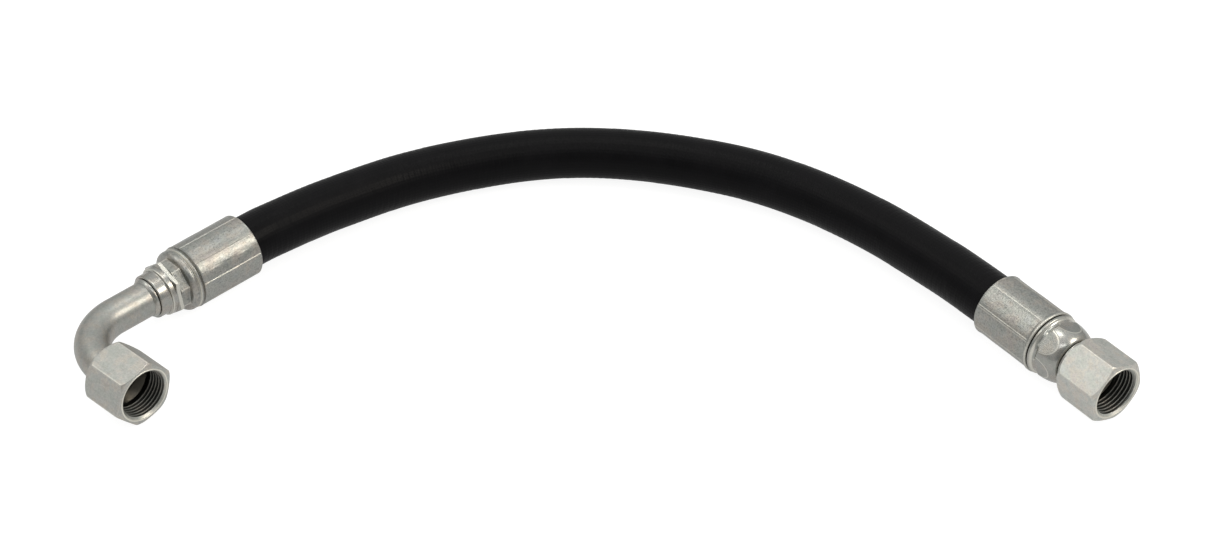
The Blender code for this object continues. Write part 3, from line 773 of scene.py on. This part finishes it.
def head_outline(back, face):
    """Swivel head: outer side from the nut's back to the rim of its 37 degree seat."""
    rim = face - SEAT_DEPTH
    cone_end = rim - (SEAT_RIM - SEAT_BORE) / math.tan(SEAT_ANGLE)
    return [
        *line((HEAD_RADIUS, back + 0.2 * MM), (HEAD_RADIUS, rim - 0.5 * MM), 12),
        *arc((11.3 * MM, rim - 0.5 * MM), (0.5 * MM, 0.5 * MM), 0, QUARTER, 5),
        *line((11.2 * MM, rim), (SEAT_RIM, rim), 2),
        *line((SEAT_RIM, rim), (SEAT_BORE, cone_end), 10),
        (SEAT_BORE, cone_end),
    ]


def add_elbow_seat(place, material):
    """The swivel head at the tube's end. Inside its seat it is darkened as oil and as painted
    shade.
    """
    back = ELBOW_DROP - NUT_LENGTH
    turns = even_turns(128)
    outline = [
        *head_outline(back, ELBOW_DROP),
        *line((SEAT_BORE, back + 8.0 * MM), (SOCKET_RADIUS, back + 7.6 * MM), 2),
        (SOCKET_RADIUS, back + 7.6 * MM),
        (SOCKET_RADIUS, back + 0.2 * MM),
    ]
    radius, height = rows_of(outline, len(turns))
    # Darker in the seat and bore: oil, and painted shade
    inside = smooth_step(11.4 * MM, 10.7 * MM, radius)
    piece = turned(
        "elbow_swivel_head", place, radius, height, turns, material, inside=inside
    )
    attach(piece, ROOT)
    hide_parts("elbow_seat")


def add_straight_ferrule(place, material):
    """The straight end's ferrule: eight dies and a round shoulder."""
    turns = corner_turns(STRAIGHT_DIE_PHASE, DIES, 52, 0.55)
    outline = [
        *ferrule_mouth(),
        *line((FERRULE_RADIUS, 1.8 * MM), (FERRULE_RADIUS, 38.0 * MM), 72),
        *arc((FERRULE_RADIUS - 0.7 * MM, 38.3 * MM), (0.7 * MM, 0.7 * MM), 0, QUARTER, 6),
        *line((16.7 * MM, STRAIGHT_FERRULE_LENGTH), (TAIL_BORE, STRAIGHT_FERRULE_LENGTH), 3),
        *ferrule_bore(STRAIGHT_FERRULE_LENGTH, STRAIGHT_FERRULE_SHELF),
    ]
    radius, height = rows_of(outline, len(turns))
    die = (17.45 * MM, 0.42 * MM)
    rib = (0.16 * MM, 0.55 * MM)
    radius, edge = crimped(
        radius, height, turns, 0.5 * MM, 37.2 * MM, STRAIGHT_DIE_PHASE, die, rib
    )
    # The rib flanks and the shoulder's crease get the lighter edge colour: polish and painted
    # highlight
    shoulder = crease(height, 38.4 * MM, 0.8 * MM) * (radius > 16 * MM)
    edge = 0.35 * edge + 0.5 * shoulder
    piece = turned(
        "straight_ferrule_crimped", place, radius, height, turns, material, edge=edge
    )
    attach(piece, ROOT)
    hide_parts("straight_ferrule")


def add_straight_nipple(place, material):
    """The straight end's nipple: a rounded collar, the forged body that six milled flats cut
    into, and the swivel head, darkened inside its seat as oil and as painted shade."""
    turns = corner_turns(STRAIGHT_NUT_ROLL, per_side=72, bunch=0.3)
    outline = [
        *line((NECK_RADIUS, 35.5 * MM), (NECK_RADIUS, 39.35 * MM), 2),
        *line((NECK_RADIUS, 39.35 * MM), (16.3 * MM, 39.35 * MM), 4),
        *arc((16.3 * MM, 40.05 * MM), (0.7 * MM, 0.7 * MM), -QUARTER, 0, 7),
        *arc((16.0 * MM, 40.6 * MM), (1.0 * MM, 0.8 * MM), 0, 0.6 * QUARTER, 7),
        *arc(
            (16.75 * MM, 43.1 * MM), (-1.25 * MM, 1.7 * MM), -0.72 * QUARTER, 0.62 * QUARTER, 18
        ),
        *arc((11.6 * MM, 44.0 * MM), (4.9 * MM, 13.1 * MM), 0.07, 0.955 * QUARTER, 46),
        (11.85 * MM, 57.25 * MM),
        *head_outline(57.4 * MM, STRAIGHT_NUT_FACE),
        *line((SEAT_BORE, 57.0 * MM), (NIPPLE_BORE, 56.5 * MM), 2),
        *line((NIPPLE_BORE, 56.5 * MM), (NIPPLE_BORE, 35.5 * MM), 3),
    ]
    radius, height = rows_of(outline, len(turns))
    hexagon = polygon_radius(turns, 6, BODY_APOTHEM, BODY_TURN, 0.8 * MM)[None, :]
    body = (height > 42 * MM) & (height < 56 * MM) & (radius > 11 * MM)
    milled = body * smooth_step(42.2 * MM, 43.6 * MM, height)
    # The flats' borders and the collar's crease get the lighter edge colour: polish and painted
    # highlight crescents
    edge = 0.7 * crease(radius, hexagon, 0.16 * MM) * milled
    edge = edge + 0.7 * crease(height, 41.6 * MM, 0.9 * MM) * (radius > 15 * MM)
    flats = soft_min(radius, hexagon, 0.30 * MM)
    radius = radius - milled * (radius - flats)
    # Darker in the seat and bore: oil, and painted shade
    inside = (height > 60 * MM) * smooth_step(11.4 * MM, 10.7 * MM, radius)
    piece = turned(
        "straight_nipple_body",
        place,
        radius,
        height,
        turns,
        material,
        inside=inside,
        edge=edge,
    )
    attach(piece, ROOT)
    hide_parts("straight_nipple")


def add_nut(name, cad, body, place, face, roll, material):
    """A swivel nut: rounded back, hexagon with a chamfered face, a lip with a painted
    highlight, and a bore with a helical thread whose grooves are darkened as oil and as painted
    shade."""
    turns = corner_turns(roll)
    columns = len(turns)
    back = face - NUT_LENGTH
    outer = [
        *line((12.7 * MM, back), (14.1 * MM, back), 4),
        *arc((14.1 * MM, back + 5.6 * MM), (4.5 * MM, 5.6 * MM), -QUARTER, 0, 40),
        *line((NUT_BLANK_RADIUS, back + 5.9 * MM), (NUT_BLANK_RADIUS, face - 3.4 * MM), 22),
        *arc((14.8 * MM, face - 3.4 * MM), (3.8 * MM, 3.15 * MM), 0, 0.985 * QUARTER, 44),
        *arc((COUNTERSINK, face - 0.42 * MM), (0.42 * MM, 0.42 * MM), 0.4, math.pi, 12),
    ]
    radius, height = rows_of(outer, columns)
    hexagon = polygon_radius(turns, 6, NUT_APOTHEM, roll, 0.25 * MM)[None, :]
    # The chamfer's crease, the lip and the hex corners get the lighter edge colour: polish and
    # painted highlight
    chamfer = crease(radius, hexagon, 0.14 * MM) * (height > face - 4.5 * MM)
    lip = (height > face - 0.5 * MM) * smooth_step(14.95 * MM, 14.75 * MM, radius)
    radius = soft_min(radius, hexagon, 0.22 * MM)
    corner = smooth_step(17.92 * MM, 18.15 * MM, radius)
    edge = np.maximum(np.maximum(0.5 * chamfer, lip), 0.32 * corner)
    # The countersink, then the thread as a true helix, its relief and the rear bore
    depth = np.concatenate([np.linspace(0.45, 12.6, 150), [12.9, 14.4, 15.0]]) * MM
    depth = depth[:, None].repeat(columns, axis=1)
    bore_height = face - depth
    helix = np.mod(bore_height / THREAD_PITCH - turns[None, :], 1.0)
    groove = 1 - np.abs(2 * helix - 1)
    crest = smooth_step(0.12, 0.88, groove)
    bore = np.maximum((12.55 + 1.15 * crest) * MM, COUNTERSINK - depth)
    relief = smooth_step(12.2 * MM, 12.7 * MM, depth)
    bore = bore * (1 - relief) + THREAD_RELIEF * relief
    rear = [
        (13.5 * MM, face - 15.1 * MM),
        (NUT_REAR_BORE, face - 15.6 * MM),
        (NUT_REAR_BORE, back + 0.6 * MM),
    ]
    rear_radius, rear_height = rows_of(rear, columns)
    # Darker deep in the bore and most in the thread's grooves: oil, and painted shade of the
    # recesses
    oil_and_painted_groove_shade = 0.25 + 0.75 * smooth_step(0.1, 0.5, groove)
    deep = smooth_step(1.2 * MM, 2.2 * MM, depth) * oil_and_painted_groove_shade
    inside = np.concatenate([np.zeros_like(radius), deep, np.ones_like(rear_radius)])
    # A lighter ring at the bore's mouth: painted highlight
    bright = 0.6 * (1 - smooth_step(0.4 * MM, 0.9 * MM, depth))
    edge = np.concatenate([edge, bright, np.zeros_like(rear_radius)])
    radius = np.concatenate([radius, bore, rear_radius])
    height = np.concatenate([height, bore_height, rear_height])
    piece = turned(name, place, radius, height, turns, material, 35, inside, edge)
    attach(piece, body)
    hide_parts(cad)


def finish_wires(material):
    """The two retaining wires are the CAD's own solids, with this material."""
    for name in ("elbow_nut_wire", "straight_nut_wire"):
        for slot in bpy.data.objects[name].material_slots:
            slot.material = material


# ---------------------------------------------------------------- stage


def add_floor():
    """A pale matt table top, wide enough to fill every view."""
    mesh = bpy.data.meshes.new("floor")
    signs = ((-1, -1), (1, -1), (1, 1), (-1, 1))
    corners = [(x * FLOOR_REACH, y * FLOOR_REACH, 0) for x, y in signs]
    mesh.from_pydata(corners, [], [(0, 1, 2, 3)])
    floor = bpy.data.objects.new("floor", mesh)
    floor.location.z = -FLOOR_GAP
    bpy.context.scene.collection.objects.link(floor)
    material = bpy.data.materials.new("white_table_top")
    material.use_nodes = True
    shader = material.node_tree.nodes["Principled BSDF"]
    shader.inputs["Base Color"].default_value = FLOOR_GREY
    shader.inputs["Roughness"].default_value = 0.9
    shader.inputs["Specular IOR Level"].default_value = 0.0
    shader.inputs["Emission Color"].default_value = (1, 1, 1, 1)
    # Overexposed where it is seen directly, as a studio table is, and greyer in reflections
    seen = material.node_tree.nodes.new("ShaderNodeLightPath")
    glow = material.node_tree.nodes.new("ShaderNodeMapRange")
    glow.inputs["To Min"].default_value = FLOOR_GLOW[0]
    glow.inputs["To Max"].default_value = FLOOR_GLOW[1]
    material.node_tree.links.new(seen.outputs["Is Camera Ray"], glow.inputs["Value"])
    material.node_tree.links.new(glow.outputs["Result"], shader.inputs["Emission Strength"])
    mesh.materials.append(material)


def add_light(name, direction, size, energy, colour):
    """A softbox in this direction from the frame's origin, which it faces."""
    data = bpy.data.lights.new(name, "AREA")
    data.shape = "RECTANGLE"
    data.size = size[0]
    data.size_y = size[1]
    data.energy = energy
    data.color = colour
    light = bpy.data.objects.new(name, data)
    direction = Vector(direction).normalized()
    light.location = direction * LIGHT_DISTANCE
    light.rotation_euler = direction.to_track_quat("Z", "Y").to_euler()
    bpy.context.scene.collection.objects.link(light)


def add_world():
    """A white tent, brighter overhead, with the darker room on the side the front faces."""
    world = bpy.data.worlds.new("studio")
    world.use_nodes = True
    tree = world.node_tree
    background = tree.nodes["Background"]
    place = tree.nodes.new("ShaderNodeTexCoord")
    split = tree.nodes.new("ShaderNodeSeparateXYZ")
    rise = tree.nodes.new("ShaderNodeMapRange")
    towards = tree.nodes.new("ShaderNodeVectorMath")
    shade = tree.nodes.new("ShaderNodeMapRange")
    product = tree.nodes.new("ShaderNodeMath")
    tree.links.new(place.outputs["Generated"], split.inputs["Vector"])
    tree.links.new(split.outputs["Z"], rise.inputs["Value"])
    rise.inputs["To Min"].default_value = WORLD_LOW_AND_HIGH[0]
    rise.inputs["To Max"].default_value = WORLD_LOW_AND_HIGH[1]
    towards.operation = "DOT_PRODUCT"
    towards.inputs[1].default_value = DARK_SIDE
    tree.links.new(place.outputs["Generated"], towards.inputs[0])
    tree.links.new(towards.outputs["Value"], shade.inputs["Value"])
    shade.inputs["From Min"].default_value = DARK_SIDE_EDGES[0]
    shade.inputs["From Max"].default_value = DARK_SIDE_EDGES[1]
    shade.inputs["To Min"].default_value = 1.0
    shade.inputs["To Max"].default_value = DARK_SIDE_SHADE
    product.operation = "MULTIPLY"
    tree.links.new(rise.outputs["Result"], product.inputs[0])
    tree.links.new(shade.outputs["Result"], product.inputs[1])
    background.inputs["Color"].default_value = (0.99, 1.0, 0.99, 1)
    tree.links.new(product.outputs["Value"], background.inputs["Strength"])
    bpy.context.scene.world = world


add_camera()
bpy.context.scene.view_settings.view_transform = "Standard"
rubber = wrapped_rubber()
ferrule_plating = zinc(
    "zinc_on_pressed_steel", 1.0, (0.29, 0.44), "lengthwise", 0.00004, (0.62, 0.00007)
)
turned_plating = zinc(
    "zinc_on_turned_steel", 1.0, (0.18, 0.30), "round", 0.00001, (0.92, 0.00001)
)
tube_plating = zinc(
    "zinc_on_drawn_tube", 1.05, (0.32, 0.44), "lengthwise", 0.00002, (0.86, 0.00002)
)
elbow_nut_plating = zinc(
    "zinc_on_hex_steel",
    1.27,
    (0.34, 0.48),
    "lengthwise",
    0.00002,
    (0.86, 0.00002),
    BORE_OIL_AND_PAINTED_SHADE,
)
# The same plating as the elbow nut's, with its colour painted lighter to stand in for the
# stronger light this nut catches
straight_nut_plating = zinc(
    "zinc_on_hex_steel_painted_lighter",
    1.56,
    (0.36, 0.50),
    "lengthwise",
    0.00002,
    (0.84, 0.00002),
    BORE_OIL_AND_PAINTED_SHADE,
)
braze = zinc("zinc_on_braze", 1.1, (0.20, 0.32), "round", 0.00001, (0.90, 0.00002))
wire = spring_wire()

elbow_place = fitting_frame((*ELBOW_MOUTH, AXIS_HEIGHT), ELBOW_HEADING)
elbow_nut_place = fitting_frame(
    along(ELBOW_MOUTH, ELBOW_HEADING, ELBOW_CORNER), ELBOW_HEADING + ELBOW_SWEEP
)
straight_place = fitting_frame((*STRAIGHT_MOUTH, AXIS_HEIGHT), STRAIGHT_HEADING)

add_hose(rubber)
add_elbow_ferrule(elbow_place, ferrule_plating)
add_elbow_nipple(elbow_place, turned_plating)
add_elbow_tube(tube_plating)
add_braze("elbow_tube_fillet", "elbow_tube_braze", elbow_place, *HUB_BRAZE, braze)
add_elbow_seat(elbow_nut_place, turned_plating)
seat_tail = ELBOW_DROP - NUT_LENGTH - 0.1 * MM
add_braze(
    "elbow_seat_fillet",
    "elbow_seat_braze",
    elbow_nut_place,
    seat_tail,
    seat_tail - 2.2 * MM,
    braze,
)
add_nut(
    "elbow_swivel_nut_hex",
    "elbow_nut",
    ELBOW_NUT_BODY,
    elbow_nut_place,
    ELBOW_DROP,
    ELBOW_NUT_ROLL,
    elbow_nut_plating,
)
add_straight_ferrule(straight_place, ferrule_plating)
add_straight_nipple(straight_place, turned_plating)
add_nut(
    "straight_swivel_nut_hex",
    "straight_nut",
    STRAIGHT_NUT_BODY,
    straight_place,
    STRAIGHT_NUT_FACE,
    STRAIGHT_NUT_ROLL,
    straight_nut_plating,
)

finish_wires(wire)

add_floor()
add_world()
for light in LIGHTS:
    add_light(*light)
